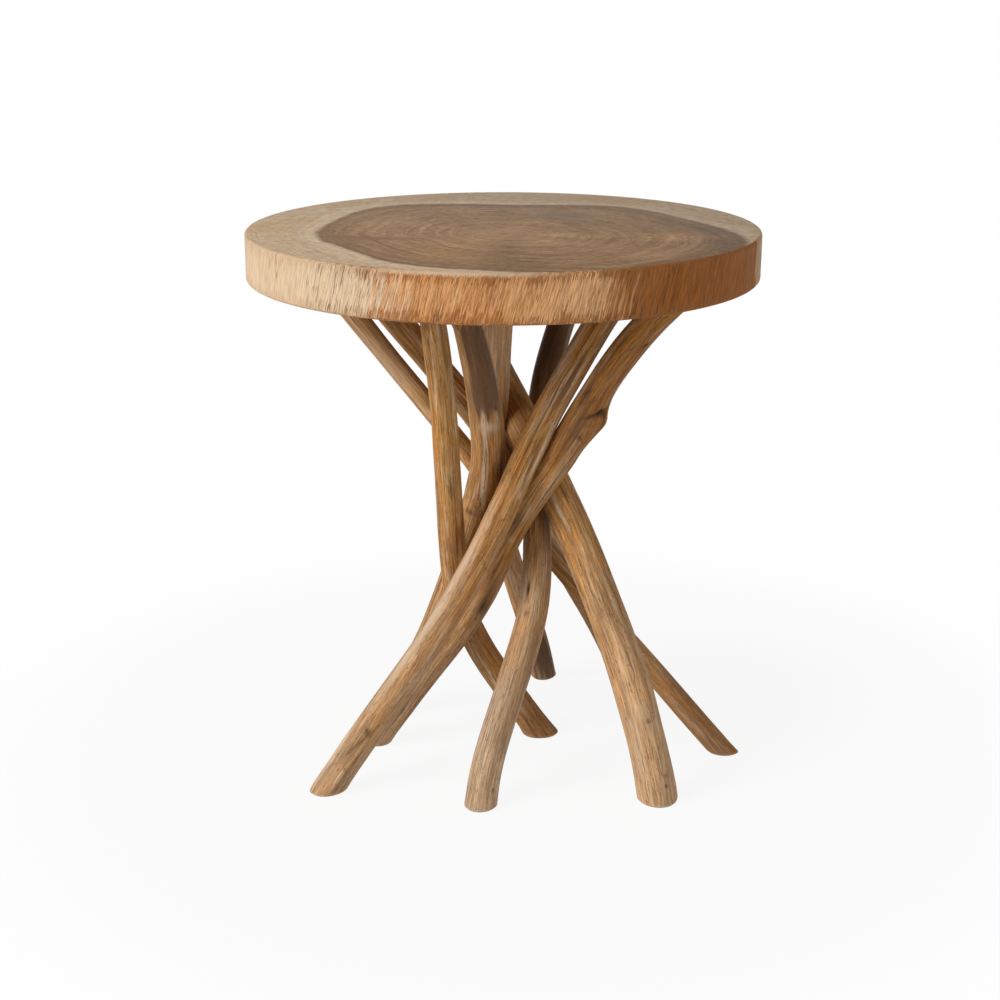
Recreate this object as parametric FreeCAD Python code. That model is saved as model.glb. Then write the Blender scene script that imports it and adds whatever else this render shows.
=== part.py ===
# A round cross-cut teak slab on nine crossed teak branches. Millimetres, +Z up.
# The origin is on the floor, under the middle of the slab. +Y points to the back.
import FreeCAD, Part

import math
import os
from collections import namedtuple

from FreeCAD import Vector

# Slab
TABLE_HEIGHT = 558.8
TOP_DIAMETER = 508.0
TOP_THICKNESS = 46.0
UPPER_ARRIS = 4.0
LOWER_ARRIS = 3.0

# Branch surface: shares of the radius, and turns of the ribs along the branch
OVALITY = 0.035
RIBBING = 0.025
RIB_COUNT = 3
RIB_TWIST = 150.0
RING_COUNT = 12
RING_POINTS = 12
WAIST_LEVEL = 0.55

# Knots: spread round the branch in degrees, and rings over each one in shares of its reach
KNOT_SPREAD = 42.0
KNOT_RINGS = (-1.6, -0.7, 0.0, 0.7, 1.6)
KNOT_CLEARANCE = 2.0

# Seats and fasteners
SEAT_GAP = 0.2
BORE_FIT = 0.1
HEAD_SCREW_LENGTH = 50.0
CROSSING_SCREW_LENGTH = 40.0
SHANK_DIAMETER = 4.5
SCREW_HEAD_DIAMETER = 8.5
SCREW_HEAD_HEIGHT = 4.5
SCREW_POINT = 7.0
PLUG_DIAMETER = 10.0
PLUG_DEPTH = 6.0
TOE_ANGLE = 25.0

LEG_HEIGHT = TABLE_HEIGHT - TOP_THICKNESS
STEPS_ROUND = list(range(RING_POINTS + 1))

# A knot swells the branch at a level, on the side at a bearing from +X.
# A station is a level, as a share of the leg height, and the place of the heart
# of the branch there. Diameters are those at the foot, the waist and the head.
Knot = namedtuple("Knot", "level bearing height reach")
Branch = namedtuple("Branch", "stations diameters rib_bearing knots")

BRANCHES = {
    "front_left_branch": Branch(
        stations=(
            (0.0, -180, -115),
            (0.15, -126, -97),
            (0.3, -71, -78),
            (0.5, -12, -52),
            (0.7, 36, -26),
            (0.85, 80, -8),
            (1.0, 131, 10),
        ),
        diameters=(31.0, 30.0, 30.0),
        rib_bearing=20.0,
        knots=(Knot(0.12, 40.0, 2.0, 16.0),),
    ),
    "knotted_branch": Branch(
        stations=(
            (0.0, -140, 2),
            (0.2, -72, -9),
            (0.35, -24, -14),
            (0.5, 9, -18),
            (0.65, 59, -23),
            (0.8, 103, -22),
            (1.0, 195, -25),
        ),
        diameters=(33.0, 34.0, 30.0),
        rib_bearing=75.0,
        knots=(Knot(0.71, 350.0, 7.0, 14.0),),
    ),
    "front_branch": Branch(
        stations=(
            (0.0, -23, -146),
            (0.2, 6, -99),
            (0.35, 32, -48),
            (0.5, 36, 19),
            (0.7, 42, 93),
            (0.85, 63, 135),
            (1.0, 96, 173),
        ),
        diameters=(34.0, 29.0, 30.0),
        rib_bearing=110.0,
        knots=(Knot(0.31, 250.0, 1.5, 12.0),),
    ),
    "front_right_branch": Branch(
        stations=(
            (0.0, 157, -133),
            (0.2, 132, -95),
            (0.4, 92, -42),
            (0.6, 42, 20),
            (0.8, -18, 95),
            (1.0, -83, 156),
        ),
        diameters=(41.0, 39.0, 34.0),
        rib_bearing=50.0,
        knots=(Knot(0.22, 20.0, 1.5, 14.0),),
    ),
    "far_right_branch": Branch(
        stations=(
            (0.0, 236, -26),
            (0.25, 119, 13),
            (0.5, 9, 35),
            (0.75, -95, 51),
            (1.0, -200, 70),
        ),
        diameters=(24.0, 23.0, 23.0),
        rib_bearing=0.0,
        knots=(),
    ),
    "right_back_branch": Branch(
        stations=(
            (0.0, 154, 78),
            (0.2, 111, 83),
            (0.4, 53, 87),
            (0.6, -5, 88),
            (0.8, -84, 93),
            (1.0, -167, 105),
        ),
        diameters=(34.0, 31.0, 29.0),
        rib_bearing=35.0,
        knots=(),
    ),
    "upright_branch": Branch(
        stations=(
            (0.0, 42, 22),
            (0.15, -10, 21),
            (0.3, -46, 18),
            (0.4, -52, -1),
            (0.6, -55, -48),
            (0.8, -59, -85),
            (1.0, -70, -111),
        ),
        diameters=(33.0, 27.0, 26.0),
        rib_bearing=90.0,
        knots=(),
    ),
    "left_back_branch": Branch(
        stations=(
            (0.0, -122, 84),
            (0.3, -57, 49),
            (0.5, -27, 19),
            (0.6, -16, 3),
            (0.7, -16, -14),
            (0.85, -27, -39),
            (1.0, -44, -65),
        ),
        diameters=(34.0, 36.0, 26.0),
        rib_bearing=65.0,
        knots=(Knot(0.68, 300.0, 2.0, 14.0),),
    ),
    "back_branch": Branch(
        stations=(
            (0.0, 48, 177),
            (0.3, 11, 118),
            (0.5, -11, 79),
            (0.6, -14, 60),
            (0.7, -10, 39),
            (0.85, -6, 17),
            (1.0, 0, -3),
        ),
        diameters=(28.0, 28.0, 30.0),
        rib_bearing=15.0,
        knots=(),
    ),
}

# At each crossing the screw goes through the first branch and bites in the second,
# which is coped to the first.
CROSSINGS = (
    ("front_left_branch", "knotted_branch"),
    ("front_right_branch", "knotted_branch"),
    ("knotted_branch", "upright_branch"),
    ("upright_branch", "left_back_branch"),
    ("left_back_branch", "far_right_branch"),
    ("front_branch", "far_right_branch"),
    ("back_branch", "front_right_branch"),
    ("front_branch", "front_right_branch"),
    ("right_back_branch", "back_branch"),
    ("far_right_branch", "back_branch"),
)


def heart_line(branch):
    """Curve along the heart of a branch, whose parameter is the level."""
    levels = [level for level, x, y in branch.stations]
    points = [Vector(x, y, level * LEG_HEIGHT) for level, x, y in branch.stations]
    curve = Part.BSplineCurve()
    curve.interpolate(Points=points, Parameters=levels)
    return curve


def radius_at(branch, level):
    """Mean radius at a level, on the parabola through foot, waist and head."""
    foot, waist, head = branch.diameters
    at_foot = (level - WAIST_LEVEL) * (level - 1.0) / WAIST_LEVEL
    at_waist = level * (level - 1.0) / (WAIST_LEVEL * (WAIST_LEVEL - 1.0))
    at_head = level * (level - WAIST_LEVEL) / (1.0 - WAIST_LEVEL)
    return 0.5 * (foot * at_foot + waist * at_waist + head * at_head)


def turn_between(angle, bearing):
    """Smallest turn from a bearing to an angle, in degrees."""
    return (angle - bearing + 180.0) % 360.0 - 180.0


def surface_radius(branch, level, angle):
    """Distance from the heart to the surface: an oval, soft ribs and knots."""
    ribs = angle - branch.rib_bearing - RIB_TWIST * level
    share = 1.0 + OVALITY * math.cos(math.radians(2.0 * ribs))
    share += RIBBING * math.cos(math.radians(RIB_COUNT * ribs))
    radius = radius_at(branch, level) * share
    for knot in branch.knots:
        along = (level - knot.level) * LEG_HEIGHT / knot.reach
        around = turn_between(angle, knot.bearing) / KNOT_SPREAD
        radius += knot.height * math.exp(-along * along - around * around)
    return radius


def level_ring(branch, curve, level, growth):
    """Outline of a branch where a level plane cuts it."""
    heart = curve.value(level)
    heart.z = level * LEG_HEIGHT
    grain = Vector(*curve.tangent(level)[0])
    across = Vector(1, 0, 0) - grain * grain.x
    across.normalize()
    beside = grain.cross(across)
    points = []
    for step in range(RING_POINTS):
        angle = 360.0 * step / RING_POINTS
        radius = surface_radius(branch, level, angle) + growth
        turn = math.radians(angle)
        spoke = across * (radius * math.cos(turn)) + beside * (radius * math.sin(turn))
        point = heart + spoke - grain * (spoke.z / grain.z)
        point.z = heart.z
        points.append(point)
    ring = Part.BSplineCurve()
    ring.interpolate(Points=points, PeriodicFlag=True, Parameters=STEPS_ROUND)
    return ring


def ring_levels(branch):
    """Evenly spaced levels, with closer ones on each knot."""
    levels = {step / (RING_COUNT - 1) for step in range(RING_COUNT)}
    for knot in branch.knots:
        reach = knot.reach / LEG_HEIGHT
        clear = KNOT_CLEARANCE * reach
        ends = {0.0, 1.0}
        levels = {level for level in levels if abs(level - knot.level) > clear} | ends
        levels.update(knot.level + share * reach for share in KNOT_RINGS)
    return sorted(levels)


def branch_body(branch, growth=0.0):
    """Solid of a branch from the floor to the underside of the slab."""
    curve = heart_line(branch)
    levels = ring_levels(branch)
    rings = [level_ring(branch, curve, level, growth) for level in levels]
    ribs = []
    for column in zip(*[ring.getPoles() for ring in rings]):
        rib = Part.BSplineCurve()
        rib.interpolate(Points=list(column), Parameters=levels)
        ribs.append(rib)
    skin = Part.BSplineSurface()
    skin.buildFromPolesMultsKnots(
        [rib.getPoles() for rib in ribs],
        rings[0].getMultiplicities(),
        ribs[0].getMultiplicities(),
        rings[0].getKnots(),
        ribs[0].getKnots(),
        True,
        False,
        rings[0].Degree,
        ribs[0].Degree,
    )
    ends = [Part.Face(Part.Wire([ring.toShape()])) for ring in (rings[0], rings[-1])]
    shell = Part.makeShell([skin.toShape()] + ends)
    shell.sewShape()
    return Part.makeSolid(shell)


def slab_body():
    """Round slab with rounded arrises."""
    slab = Part.makeCylinder(TOP_DIAMETER / 2, TOP_THICKNESS, Vector(0, 0, LEG_HEIGHT))
    for height, arris in ((TABLE_HEIGHT, UPPER_ARRIS), (LEG_HEIGHT, LOWER_ARRIS)):
        rim = min(slab.Edges, key=lambda edge: abs(edge.CenterOfMass.z - height))
        slab = slab.makeFillet(arris, [rim])
    return slab


def along_axis(shape, start, direction):
    """Shape made on +Z from the origin, moved to start and turned to a direction."""
    turn = FreeCAD.Rotation(Vector(0, 0, 1), direction)
    shape.Placement = FreeCAD.Placement(start, turn)
    return shape


def wood_screw(length, fit=0.0):
    """Countersunk screw from its head at the origin to its point on +Z."""
    head = SCREW_HEAD_DIAMETER / 2 + fit
    shank = SHANK_DIAMETER / 2 + fit
    rim = SCREW_HEAD_HEIGHT - (head - shank)
    outline = [
        Vector(0, 0, -fit),
        Vector(head, 0, -fit),
        Vector(head, 0, rim),
        Vector(shank, 0, SCREW_HEAD_HEIGHT),
        Vector(shank, 0, length - SCREW_POINT),
        Vector(0, 0, length + fit),
        Vector(0, 0, -fit),
    ]
    face = Part.Face(Part.makePolygon(outline))
    return face.revolve(Vector(0, 0, 0), Vector(0, 0, 1), 360)


def plug_blank(length, fit=0.0):
    """Plug that ends on the screw's head and stands proud until it is cut flush."""
    return Part.makeCylinder(PLUG_DIAMETER / 2 + fit, length, Vector(0, 0, -length))


def toe_direction(grain):
    """Direction of a head screw, turned from the grain towards upright and past it."""
    lean = Vector(-grain.x, -grain.y, 0)
    side = lean - grain * lean.dot(grain)
    side.normalize()
    turn = math.radians(TOE_ANGLE)
    return grain * math.cos(turn) + side * math.sin(turn)


def fasten(bodies, through, into, head, direction, screw_length, plug_length):
    """Bore two bodies for a screw, and give the screw and the plug over its head."""
    screw = along_axis(wood_screw(screw_length), head, direction)
    bore = along_axis(wood_screw(screw_length, BORE_FIT), head, direction)
    plug = along_axis(plug_blank(plug_length), head, direction).common(bodies[through])
    mouth = along_axis(plug_blank(plug_length, BORE_FIT), head, direction)
    bodies[through] = bodies[through].cut([bore, mouth])
    bodies[into] = bodies[into].cut(bore)
    return screw, plug


def seat_crossings(bodies):
    """Cope each crossing, then fasten all of them."""
    for first, second in CROSSINGS:
        bodies[second] = bodies[second].cut(branch_body(BRANCHES[first], SEAT_GAP))
    fastened = []
    for first, second in CROSSINGS:
        heart = heart_line(BRANCHES[first]).toShape()
        nearest = heart.distToShape(heart_line(BRANCHES[second]).toShape())[1][0]
        direction = nearest[1] - nearest[0]
        direction.normalize()
        radius = radius_at(BRANCHES[first], nearest[0].z / LEG_HEIGHT)
        head = nearest[0] - direction * (radius - PLUG_DEPTH)
        lengths = (CROSSING_SCREW_LENGTH, 2 * PLUG_DEPTH)
        fastened.append(fasten(bodies, first, second, head, direction, *lengths))
    return fastened


def seat_heads(bodies):
    """Fasten the head of each branch to the slab with a slanted screw, sunk square to the bark."""
    toe = math.radians(TOE_ANGLE)
    lengths = (HEAD_SCREW_LENGTH, PLUG_DEPTH / math.sin(toe) + PLUG_DIAMETER / math.tan(toe))
    fastened = []
    for name, branch in BRANCHES.items():
        curve = heart_line(branch)
        direction = toe_direction(Vector(*curve.tangent(1.0)[0]))
        reach = (radius_at(branch, 1.0) - PLUG_DEPTH) / math.sin(toe)
        head = curve.value(1.0) - direction * reach
        fastened.append(fasten(bodies, name, "top_slab", head, direction, *lengths))
    return fastened


def main():
    bodies = {"top_slab": slab_body()}
    for name, branch in BRANCHES.items():
        bodies[name] = branch_body(branch)
    crossings = seat_crossings(bodies)
    heads = seat_heads(bodies)
    for name, fastened in (("crossing", crossings), ("head", heads)):
        screws, plugs = zip(*fastened)
        bodies[name + "_screws"] = Part.makeCompound(screws)
        bodies[name + "_plugs"] = Part.makeCompound(plugs)
    os.makedirs("parts", exist_ok=True)
    for name, body in bodies.items():
        body.exportStep("parts/" + name + ".step")


main()
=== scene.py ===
"""Teak accent table: a round cross-cut slab on nine crossed, sanded branches. Metres, +Z up."""

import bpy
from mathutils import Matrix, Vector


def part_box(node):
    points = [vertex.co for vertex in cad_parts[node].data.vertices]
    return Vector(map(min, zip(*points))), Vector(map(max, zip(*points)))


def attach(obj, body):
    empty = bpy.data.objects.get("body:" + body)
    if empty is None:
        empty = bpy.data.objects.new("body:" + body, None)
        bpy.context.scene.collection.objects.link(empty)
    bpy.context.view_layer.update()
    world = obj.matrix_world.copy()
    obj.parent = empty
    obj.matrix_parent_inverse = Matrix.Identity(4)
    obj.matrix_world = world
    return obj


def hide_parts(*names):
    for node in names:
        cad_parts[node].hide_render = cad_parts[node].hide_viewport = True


bl_info = {
    "name": "Teak Accent Table",
    "version": (1, 0, 0),
    "blender": (4, 5, 0),
    "location": "View3D > Sidebar > Table",
    "description": "Dresses a cross-cut teak slab and its crossed branch legs",
    "category": "Object",
}

import math
from collections import namedtuple

import bpy
import numpy as np
from bpy.props import FloatProperty, FloatVectorProperty, PointerProperty
from mathutils import Vector, noise
from mathutils.bvhtree import BVHTree
from mathutils.kdtree import KDTree

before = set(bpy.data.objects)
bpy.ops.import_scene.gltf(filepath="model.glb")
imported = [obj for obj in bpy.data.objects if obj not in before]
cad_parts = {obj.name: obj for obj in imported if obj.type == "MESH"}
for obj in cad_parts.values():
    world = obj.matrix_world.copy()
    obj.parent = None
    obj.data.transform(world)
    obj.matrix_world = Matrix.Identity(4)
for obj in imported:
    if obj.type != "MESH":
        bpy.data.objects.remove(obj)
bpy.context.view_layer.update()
SLAB_LOW, SLAB_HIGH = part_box("top_slab")
SLAB_RADIUS = SLAB_HIGH.x
SLAB_THICKNESS = SLAB_HIGH.z - SLAB_LOW.z
SLAB_MIDDLE = 0.5 * (SLAB_LOW.z + SLAB_HIGH.z)
LEG_HEIGHT = SLAB_LOW.z
MM = 0.001

# The photograph's camera, in metres, degrees and pixels of its square frame
PHOTO_SIDE = 1000
CAMERA_PLACE = Vector((0.0, -1.700, 0.822))
CAMERA_PITCH = math.radians(17.83)
FOCAL_PIXELS = 1720.0
CENTRE_PIXEL = Vector((503.1, 500.0))
SENSOR_WIDTH = 36.0

# Pole that every branch is bent from
POLE_SIDES = 96
POLE_RADIUS = 0.016
POLE_LENGTH = 0.86
POLE_EXTRUSIONS = 43
POLE_STEP = POLE_LENGTH / POLE_EXTRUSIONS
ROWS_PER_EXTRUSION = 10

# Heart of a branch: level cuts that find it, the share of the height at the lowest, what it runs on
# past the ends, and how much fuller than the branch the bent pole is
HEART_STATIONS = 15
END_LEVEL = 0.012
END_SPARE = 0.06
OVERSIZE = 1.12

# Step between the grains of two branches, so that their patterns differ
GRAIN_STEP = 2.0
# Points nearer than this are one
FLAT = 1e-5
PLUG_NODES = ("crossing_plugs", "head_plugs")
SCREW_NODES = ("crossing_screws", "head_screws")

# Clouds that carve the branches: size across and along the grain, octaves, and a shift
Cloud = namedtuple("Cloud", "across along octaves shift")
FLUTES = Cloud(0.012, 0.20, 2, 0.0)
LUMPS = Cloud(0.030, 0.060, 1, 5.0)
RIDGES = Cloud(0.0045, 0.10, 2, 9.0)
# Distances from the plugs and from the cut ends over which the carving sets in
PLUG_CLEAR = (0.002, 0.012)
END_CLEAR = (0.0, 0.012)
PLUG_PROUD = 0.0002
RELIEF_SCALE = 0.01
LEAST_WEIGHT = 0.001
SEAT_REACH = 0.006
BRANCH_CREASE = math.radians(50.0)

# Rim of the slab: its mesh, and the sizes across and along the grain of its fibres and waves
RIM_STEPS = 1200
RIM_ROWS = 22
ARRIS_SEGMENTS = 5
RIM_FIBRES = (0.0022, 0.03)
RIM_WAVES = (0.06, 0.12)
SLAB_CREASE = math.radians(40.0)
LEVEL_NORMAL = 0.95

# Depth of the relief of each finish
BRANCH_RELIEF = 0.0004
END_GRAIN_RELIEF = 0.00012
RIM_RELIEF = 0.00022
PLUG_RELIEF = 0.0002
STEEL_RELIEF = 0.00005

# Colours of the screws
ZINC = (0.62, 0.58, 0.48)
DULL_ZINC = (0.50, 0.48, 0.43)

# Pith of the slab, and the pixels of the photograph along the edge of its heartwood
PITH = Vector((0.001, -0.045))
HEART_EDGE = (
    (316, 233), (326, 242), (350, 252), (376, 259), (402, 264), (437, 268), (471, 270), (499, 272),
    (753, 242), (732, 233), (705, 224), (688, 218), (661, 213), (625, 208), (589, 205), (536, 204),
    (500, 205), (471, 204), (428, 204), (394, 205), (380, 206), (368, 209), (350, 215), (333, 220),
    (320, 227),
)
# Places on that edge where it runs outside the slab
HEART_BEYOND = ((0.050, -0.254), (0.120, -0.254), (0.181, -0.196))
HEART_WAVES = 6
# Growth rings: how many lie within that edge, how soon they change, and how much finer some are
RINGS = 24.0
RING_DRIFT = 9.0
FINE_RINGS = (4.5, 1.5, 1.5)

# Grey clouds on the heartwood: place, reach and strength
SMUDGES = (
    ((0.062, 0.078), 0.055, 0.75), ((0.205, -0.020), 0.060, 0.70),
    ((0.215, -0.105), 0.070, 0.55), ((0.072, 0.030), 0.022, 0.60),
)

# Wedges of lighter and darker heartwood: bearing from the pith and reach in degrees, and lightness
WEDGES = (
    (-90.0, 16.0, 0.80), (-7.0, 20.0, 1.30), (-43.0, 14.0, 1.12), (-121.0, 14.0, 1.12),
    (36.0, 14.0, 0.88), (92.0, 14.0, 0.90), (124.0, 20.0, 0.84), (66.0, 8.0, 1.10),
)

# Curved shake in the left of the heart: share of the heart's reach and width, and where it fades
# right of and behind the pith
SHAKE = (0.75, 0.024)
SHAKE_RIGHT = (-0.09, -0.06)
SHAKE_BACK = (-0.02, 0.03)
# Dark ray from the left into the heart: its ends right of and behind the pith, its width, and
# where it fades
RAY_RUN = (-0.18, -0.05, -0.018, -0.036)
RAY_WIDTH = 0.016
RAY_FADE = (-0.13, -0.05)

# Where the rim's colours set in, right of the slab's middle
RIM_WARM = (-0.160, -0.105)
RIM_STAINED = (-0.135, -0.070)
RIM_BARE = (-0.030, 0.090)
# Span over which the painted highlight along the top arris fades out
RIM_ARRIS_HIGHLIGHT = (-0.020, 0.085)
RIM_HEART = (0.082, 0.122)
# Middle and reach of the rim's cracks, and where its front and its heartwood end, behind the middle
RIM_CRACKS = (-0.150, 0.055)
RIM_FRONT = (-0.16, -0.10)
HEART_END = -0.081

# Sheen of sanded, oiled wood
SANDED = {"Specular IOR Level": 0.14}

# At each crossing the second branch is hollowed to seat on the first
CROSSINGS = (
    ("front_left_branch", "knotted_branch"), ("front_right_branch", "knotted_branch"),
    ("knotted_branch", "upright_branch"), ("upright_branch", "left_back_branch"),
    ("left_back_branch", "far_right_branch"), ("front_branch", "far_right_branch"),
    ("back_branch", "front_right_branch"), ("front_branch", "front_right_branch"),
    ("right_back_branch", "back_branch"), ("far_right_branch", "back_branch"),
)

# Marks on the branches: the pixel of the photograph where each shows, its reach along and across
# the grain, its tint and how strong that is, how far it stands up or lies in, and its lean.
# Lengths are in millimetres.
Mark = namedtuple("Mark", "pixel along across tint strength height lean", defaults=(0.0, 0.0))
MARK_TINTS = ("dark", "pale", "bark", "warm")
MARKS = {
    "knotted_branch": (
        Mark((596, 415), 10, 2, "dark", 0.95, -2.2, 0.9), Mark((604, 414), 4, 6, "dark", 0.80, -3),
        Mark((590, 402), 7, 1.6, "dark", 0.45, -1, 0.9), Mark((585, 392), 16, 12, "bark", 0.45, -1),
        Mark((586, 440), 16, 10, "bark", 0.20, 1.8), Mark((574, 428), 30, 9, "bark", 0.50),
        Mark((579, 437), 3, 3, "dark", 0.55, -0.4), Mark((586, 392), 6, 1.4, "dark", 0.35, -0.7, 0.7),
        # Painted shade: the warm tints at (625, 370), under the slab, and at (568, 432), by the knot,
        # darken this branch
        Mark((646, 346), 5, 2.4, "dark", 0.85, -1.2, 0.6), Mark((625, 370), 60, 30, "warm", 1.00),
        Mark((568, 432), 35, 20, "warm", 0.80), Mark((511, 541), 3, 3, "pale", 0.80),
        Mark((489, 596), 18, 3, "dark", 0.60, -0.8), Mark((484, 609), 8, 5, "dark", 0.60, -0.6),
        Mark((517, 521), 15, 4.5, "dark", 0.55, -0.4), Mark((429, 690), 12, 3, "dark", 0.55, -0.5),
        Mark((498, 566), 32, 2.2, "dark", 0.50), Mark((489, 574), 30, 2.2, "warm", 0.90),
        Mark((505, 575), 25, 2.2, "warm", 0.90),
    ),
    "front_left_branch": (
        Mark((520, 495), 4, 3, "pale", 0.90), Mark((489, 541), 30, 4, "warm", 0.90),
        Mark((446, 622), 32, 4.5, "warm", 0.90), Mark((417, 668), 30, 3, "warm", 0.80),
        Mark((503, 480), 5, 2.5, "dark", 0.35, -1), Mark((537, 448), 12, 2, "dark", 0.55, -0.6),
        Mark((367, 731), 4, 4, "dark", 0.60, 0.8), Mark((358, 745), 20, 2.5, "dark", 0.55, -0.8, 0.25),
        # Painted highlight: the long pale tints at (450, 588) and (405, 658) lighten the lit left side
        # of this branch
        Mark((450, 588), 85, 6.5, "pale", 0.80, 0.4), Mark((405, 658), 60, 6, "pale", 0.60),
        Mark((570, 385), 70, 12, "bark", 0.35),
    ),
    "front_branch": (
        Mark((527, 588), 11, 2.6, "dark", 1.00, -2.2), Mark((526, 614), 3.5, 3, "dark", 0.50, 0.8),
        Mark((497, 739), 12, 3, "dark", 0.35, -0.4), Mark((494, 790), 2, 1.5, "dark", 0.70, -0.5),
        # Painted shade: the warm and dark tints at (545, 350) darken the top of this branch under the
        # slab
        Mark((545, 350), 70, 40, "warm", 1.00), Mark((545, 350), 70, 40, "dark", 0.90),
    ),
    "front_right_branch": (
        Mark((558, 536), 10, 1.8, "pale", 0.60, -1), Mark((666, 775), 1.5, 1.5, "dark", 0.80, -0.6),
        Mark((667, 787), 1.8, 1.8, "dark", 0.85, -0.8), Mark((648, 721), 2.2, 1.8, "dark", 0.70, -0.5),
    ),
    "left_back_branch": (
        Mark((478, 345), 52, 20, "bark", 0.95, -0.4), Mark((484, 398), 27, 21, "bark", 0.95, -0.4),
        Mark((489, 428), 6, 10, "pale", 0.80, 1.6), Mark((496, 409), 2, 2, "dark", 0.80, -0.5),
        Mark((470, 512), 4, 4, "dark", 0.70, -0.6),
    ),
    "upright_branch": (
        Mark((451, 488), 14, 1.4, "dark", 0.75, -1.2), Mark((431, 367), 6, 4, "dark", 0.30, -0.3),
        Mark((540, 722), 35, 30, "warm", 0.70),
    ),
    "far_right_branch": (
        Mark((692, 700), 50, 30, "warm", 0.80), Mark((728, 742), 40, 30, "warm", 0.60),
        # Painted highlight: the pale tint at (385, 360) lightens the lit top of this branch
        Mark((385, 360), 50, 20, "pale", 0.40),
    ),
    "back_branch": (
        Mark((500, 350), 60, 30, "pale", 0.35), Mark((543, 655), 60, 30, "bark", 0.90),
    ),
}

# Tone of each branch: brightness, and shares of brown streaks, orange streaks, grey weathering
# and painted light, which makes the lower part of the branch paler
Tone = namedtuple("Tone", "brightness brown orange grey bleach")
TONES = {
    "front_left_branch": Tone(1.07, 0.75, 0.75, 0.30, 0.25),
    "knotted_branch": Tone(1.06, 0.85, 0.85, 0.05, 0.35),
    "front_branch": Tone(1.00, 0.50, 0.20, 0.65, 0.45),
    "front_right_branch": Tone(1.14, 0.60, 0.60, 0.20, 0.35),
    "far_right_branch": Tone(1.16, 0.55, 0.55, 0.15, 0.05),
    "right_back_branch": Tone(1.24, 0.70, 0.60, 0.10, 0.15),
    "upright_branch": Tone(1.09, 0.55, 0.70, 0.08, 0.05),
    "left_back_branch": Tone(1.03, 0.75, 0.70, 0.15, 0.15),
    "back_branch": Tone(1.35, 0.50, 0.35, 0.35, 0.10),
}

# Floor: sides, radius, drop under the feet, and the distances over which it turns plain white
FLOOR_SIDES = 128
FLOOR_RADIUS = 60.0
FLOOR_DROP = 0.0005
FLOOR_FADE = (0.30, 0.80)
WHITE = (1.0, 1.0, 1.0, 1.0)

# Square lamps: side and place
LAMPS = {"key": (2.2, Vector((-3.3, -1.95, 2.25))), "fill": (1.6, Vector((1.6, -1.8, 0.9)))}


def colour(name, description, default):
    """Colour setting of a finish."""
    return FloatVectorProperty(
        name=name, description=description, subtype="COLOR", size=3, min=0.0, max=1.0, default=default
    )


def length(name, description, default):
    """Length setting in metres."""
    return FloatProperty(
        name=name, description=description, unit="LENGTH", min=0.0, precision=5, default=default
    )


def power(name, description, default):
    """Power setting of a lamp."""
    return FloatProperty(name=name, description=description, unit="POWER", min=0.0, default=default)


class SlabSettings(bpy.types.PropertyGroup):
    """Sizes and colours of the slab"""

    arris: length("Arris", "Radius of the rounded edges", 0.0030)
    fibre_depth: length("Fibre depth", "Depth of the fibres on the rim", 0.0002)
    wave_depth: length("Wave depth", "Depth of the broad waves on the rim", 0.0010)
    fibre_slant: FloatProperty(
        name="Fibre slant", description="Lean of the fibres on the rim", subtype="ANGLE",
        default=math.radians(15.0),
    )
    sapwood: colour("Sapwood", "Pale wood round the heart", (0.53, 0.385, 0.245))
    sap_stain: colour("Sap stain", "Warm clouds in the sapwood", (0.50, 0.325, 0.18))
    # Also paints the highlight along the top arris of the rim
    sap_halo: colour("Sap halo", "Palest sapwood, next to the heart", (0.62, 0.465, 0.315))
    heartwood: colour("Heartwood", "Brown wood of the heart", (0.285, 0.158, 0.074))
    heart_light: colour("Heart light", "Lighter rings of the heart", (0.39, 0.240, 0.122))
    heart_edge: colour("Heart edge", "Dark outer rings of the heart", (0.185, 0.105, 0.054))
    rim_cream: colour("Rim cream", "Sapwood on the rim", (0.58, 0.425, 0.275))
    rim_orange: colour("Rim orange", "Stained wood on the rim", (0.50, 0.230, 0.087))
    rim_peach: colour("Rim peach", "Pale wood among the stains", (0.67, 0.370, 0.172))
    rim_brown: colour("Rim brown", "Heartwood on the rim", (0.315, 0.100, 0.016))
    rim_stain: colour("Rim stain", "Reddish runs along the edges of the rim", (0.31, 0.115, 0.031))
    check: colour("Check", "Drying checks", (0.05, 0.033, 0.022))
    smudge: colour("Smudge", "Grey clouds in the heart", (0.125, 0.092, 0.070))


class BranchSettings(bpy.types.PropertyGroup):
    """Sizes and colours of the branches"""

    flute_depth: length("Flute depth", "Depth of the long hollows", 0.0011)
    ridge_depth: length("Ridge depth", "Depth of the fine grooves", 0.0004)
    lump_depth: length("Lump depth", "Depth of the broad lumps", 0.0006)
    foot_arris: length("Foot arris", "Rounding at the cut ends", 0.0016)
    seat_gap: length("Seat gap", "Clearance where branches cross", 0.0002)
    honey: colour("Honey", "Main colour of the sanded wood", (0.395, 0.203, 0.067))
    # Also paints highlights on some branches and the painted light on their lower parts
    pale: colour("Pale", "Pale sapwood", (0.60, 0.440, 0.300))
    brown: colour("Brown", "Long brown streaks", (0.155, 0.062, 0.014))
    orange: colour("Orange", "Long orange streaks", (0.42, 0.170, 0.030))
    grey: colour("Grey", "Weathered wood", (0.30, 0.215, 0.145))
    # Also paints shade under the slab and by the knot, in some marks
    warm: colour("Warm", "Reddish brown clouds", (0.24, 0.090, 0.018))
    # Also paints the shade on the foot chamfers
    bark: colour("Bark", "Patches of weathered bark", (0.135, 0.073, 0.040))
    # Also paints shade on the top of the front branch
    dark: colour("Dark", "Checks and knots", (0.030, 0.0125, 0.005))


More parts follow.
